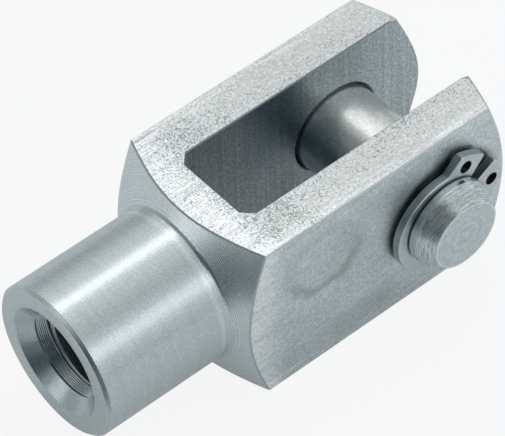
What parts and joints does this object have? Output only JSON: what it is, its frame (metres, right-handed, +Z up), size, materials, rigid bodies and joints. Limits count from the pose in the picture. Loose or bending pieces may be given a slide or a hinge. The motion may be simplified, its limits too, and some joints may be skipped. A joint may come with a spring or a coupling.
{
  "type": "rod clevis",
  "caption": "Steel rod clevis: a square fork with a threaded round neck and a slot between its ears, crossed by a turned pin that retaining rings hold.",
  "frame": {"origin": "on the clevis pin's axis, midway between the two ears", "axes": "+X from the threaded end to the fork's tip, +Y along the pin, +Z up out of the open slot; the part rests on the fork's flat underside at z = -0.012"},
  "size_m": [0.0616, 0.034, 0.024],
  "materials": {
    "fork_steel": "bright zinc-plated steel, turned and milled",
    "pin_steel": "satin turned steel",
    "ring_steel": "stamped spring steel, plated"
  },
  "bodies": {
    "fork": {"fork_body": "fork_steel"},
    "pin": {"clevis_pin": "pin_steel", "front_ring": "ring_steel", "rear_ring": "ring_steel"}
  },
  "joints": [
    {"name": "pin_turn", "type": "hinge", "parent": "fork", "child": "pin", "pos_m": [0, 0, 0], "axis": [0, 1, 0], "continuous": true}
  ]
}
